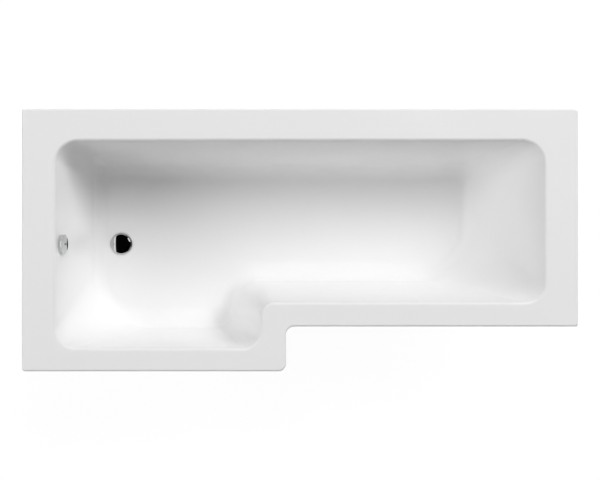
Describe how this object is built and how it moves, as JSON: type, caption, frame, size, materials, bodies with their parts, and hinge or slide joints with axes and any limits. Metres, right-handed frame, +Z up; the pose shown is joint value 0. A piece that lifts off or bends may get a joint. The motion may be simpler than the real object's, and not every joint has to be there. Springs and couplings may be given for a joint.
{
  "type": "shower bath",
  "caption": "L-shaped white acrylic shower bath, wide at the shower end, on a cradle with levelling feet, with a domed pop-up plug and a round overflow.",
  "frame": {"origin": "on the floor, under the middle of the rim's overall length and width", "axes": "+X from the waste and shower end to the backrest, +Y towards the wall that the long straight side stands against, +Z up"},
  "size_m": [1.8, 0.85, 0.55],
  "materials": {
    "acrylic": "cast sanitary acrylic, polished",
    "glass_fibre": "sprayed chopped-strand glass fibre in resin",
    "chipboard": "raw chipboard",
    "timber": "planed softwood",
    "galvanised_steel": "folded galvanised sheet",
    "zinc_plate": "bright zinc plate",
    "chrome": "polished chrome plate",
    "brass": "turned brass",
    "spring_steel": "stainless steel",
    "seal_rubber": "moulded rubber",
    "white_plastic": "moulded polypropylene",
    "hose_plastic": "ribbed flexible plastic",
    "dark_plastic": "moulded nylon"
  },
  "bodies": {
    "bath": {"tub_shell": "acrylic", "glass_fibre_backing": "glass_fibre", "baseboard": "chipboard", "batten_wall_side": "timber", "batten_waste_end": "timber", "batten_backrest_end": "timber", "batten_narrow_front": "timber", "batten_shower_front": "timber", "batten_step": "timber", "cradle_bar_waste_end": "galvanised_steel", "cradle_bar_middle": "galvanised_steel", "cradle_bar_backrest_end": "galvanised_steel", "cradle_screws": "zinc_plate", "wall_bracket_waste_end": "galvanised_steel", "wall_bracket_backrest_end": "galvanised_steel", "bracket_screws": "zinc_plate", "waste_flange": "chrome", "flange_seal": "seal_rubber", "under_seal": "seal_rubber", "waste_body": "white_plastic", "plug_sleeve": "brass", "plug_spring": "spring_steel", "overflow_cover": "chrome", "overflow_screw": "chrome", "overflow_grid": "spring_steel", "overflow_front_washer": "seal_rubber", "overflow_back_seal": "seal_rubber", "overflow_elbow": "white_plastic", "overflow_hose": "hose_plastic", "hose_nut_upper": "dark_plastic", "hose_nut_lower": "dark_plastic", "hose_seal_upper": "seal_rubber", "hose_seal_lower": "seal_rubber"},
    "plug": {"plug_post": "brass", "plug_dome_cap": "chrome", "plug_seal": "seal_rubber"},
    "foot_1": {"foot_pad_1": "dark_plastic", "foot_stud_1": "zinc_plate"},
    "nuts_1": {"foot_nuts_1": "zinc_plate"},
    "foot_2": {"foot_pad_2": "dark_plastic", "foot_stud_2": "zinc_plate"},
    "nuts_2": {"foot_nuts_2": "zinc_plate"},
    "foot_3": {"foot_pad_3": "dark_plastic", "foot_stud_3": "zinc_plate"},
    "nuts_3": {"foot_nuts_3": "zinc_plate"},
    "foot_4": {"foot_pad_4": "dark_plastic", "foot_stud_4": "zinc_plate"},
    "nuts_4": {"foot_nuts_4": "zinc_plate"},
    "foot_5": {"foot_pad_5": "dark_plastic", "foot_stud_5": "zinc_plate"},
    "nuts_5": {"foot_nuts_5": "zinc_plate"},
    "foot_6": {"foot_pad_6": "dark_plastic", "foot_stud_6": "zinc_plate"},
    "nuts_6": {"foot_nuts_6": "zinc_plate"}
  },
  "joints": [
    {"name": "plug_lift", "type": "slide", "parent": "bath", "child": "plug", "axis": [0, 0, 1], "range_m": [0, 0.009], "deforming": ["plug_spring"]},
    {"name": "foot_1_level", "type": "slide", "parent": "bath", "child": "foot_1", "axis": [0, 0, -1], "range_m": [-0.02, 0.02]},
    {"name": "nuts_1_turn", "type": "hinge", "parent": "bath", "child": "nuts_1", "pos_m": [-0.447, -0.315, 0.125], "axis": [0, 0, 1], "range_deg": [-4120, 4120]},
    {"name": "foot_2_level", "type": "slide", "parent": "bath", "child": "foot_2", "axis": [0, 0, -1], "range_m": [-0.02, 0.02]},
    {"name": "nuts_2_turn", "type": "hinge", "parent": "bath", "child": "nuts_2", "pos_m": [-0.447, 0.3, 0.125], "axis": [0, 0, 1], "range_deg": [-4120, 4120]},
    {"name": "foot_3_level", "type": "slide", "parent": "bath", "child": "foot_3", "axis": [0, 0, -1], "range_m": [-0.02, 0.02]},
    {"name": "nuts_3_turn", "type": "hinge", "parent": "bath", "child": "nuts_3", "pos_m": [0.016, -0.17, 0.125], "axis": [0, 0, 1], "range_deg": [-4120, 4120]},
    {"name": "foot_4_level", "type": "slide", "parent": "bath", "child": "foot_4", "axis": [0, 0, -1], "range_m": [-0.02, 0.02]},
    {"name": "nuts_4_turn", "type": "hinge", "parent": "bath", "child": "nuts_4", "pos_m": [0.016, 0.3, 0.125], "axis": [0, 0, 1], "range_deg": [-4120, 4120]},
    {"name": "foot_5_level", "type": "slide", "parent": "bath", "child": "foot_5", "axis": [0, 0, -1], "range_m": [-0.02, 0.02]},
    {"name": "nuts_5_turn", "type": "hinge", "parent": "bath", "child": "nuts_5", "pos_m": [0.4391, -0.17, 0.125], "axis": [0, 0, 1], "range_deg": [-4120, 4120]},
    {"name": "foot_6_level", "type": "slide", "parent": "bath", "child": "foot_6", "axis": [0, 0, -1], "range_m": [-0.02, 0.02]},
    {"name": "nuts_6_turn", "type": "hinge", "parent": "bath", "child": "nuts_6", "pos_m": [0.4391, 0.3, 0.125], "axis": [0, 0, 1], "range_deg": [-4120, 4120]}
  ],
  "couplings": [
    {"joint": "nuts_1_turn", "follows": "foot_1_level", "rad_per_m": 3590.4},
    {"joint": "nuts_2_turn", "follows": "foot_2_level", "rad_per_m": 3590.4},
    {"joint": "nuts_3_turn", "follows": "foot_3_level", "rad_per_m": 3590.4},
    {"joint": "nuts_4_turn", "follows": "foot_4_level", "rad_per_m": 3590.4},
    {"joint": "nuts_5_turn", "follows": "foot_5_level", "rad_per_m": 3590.4},
    {"joint": "nuts_6_turn", "follows": "foot_6_level", "rad_per_m": 3590.4}
  ]
}
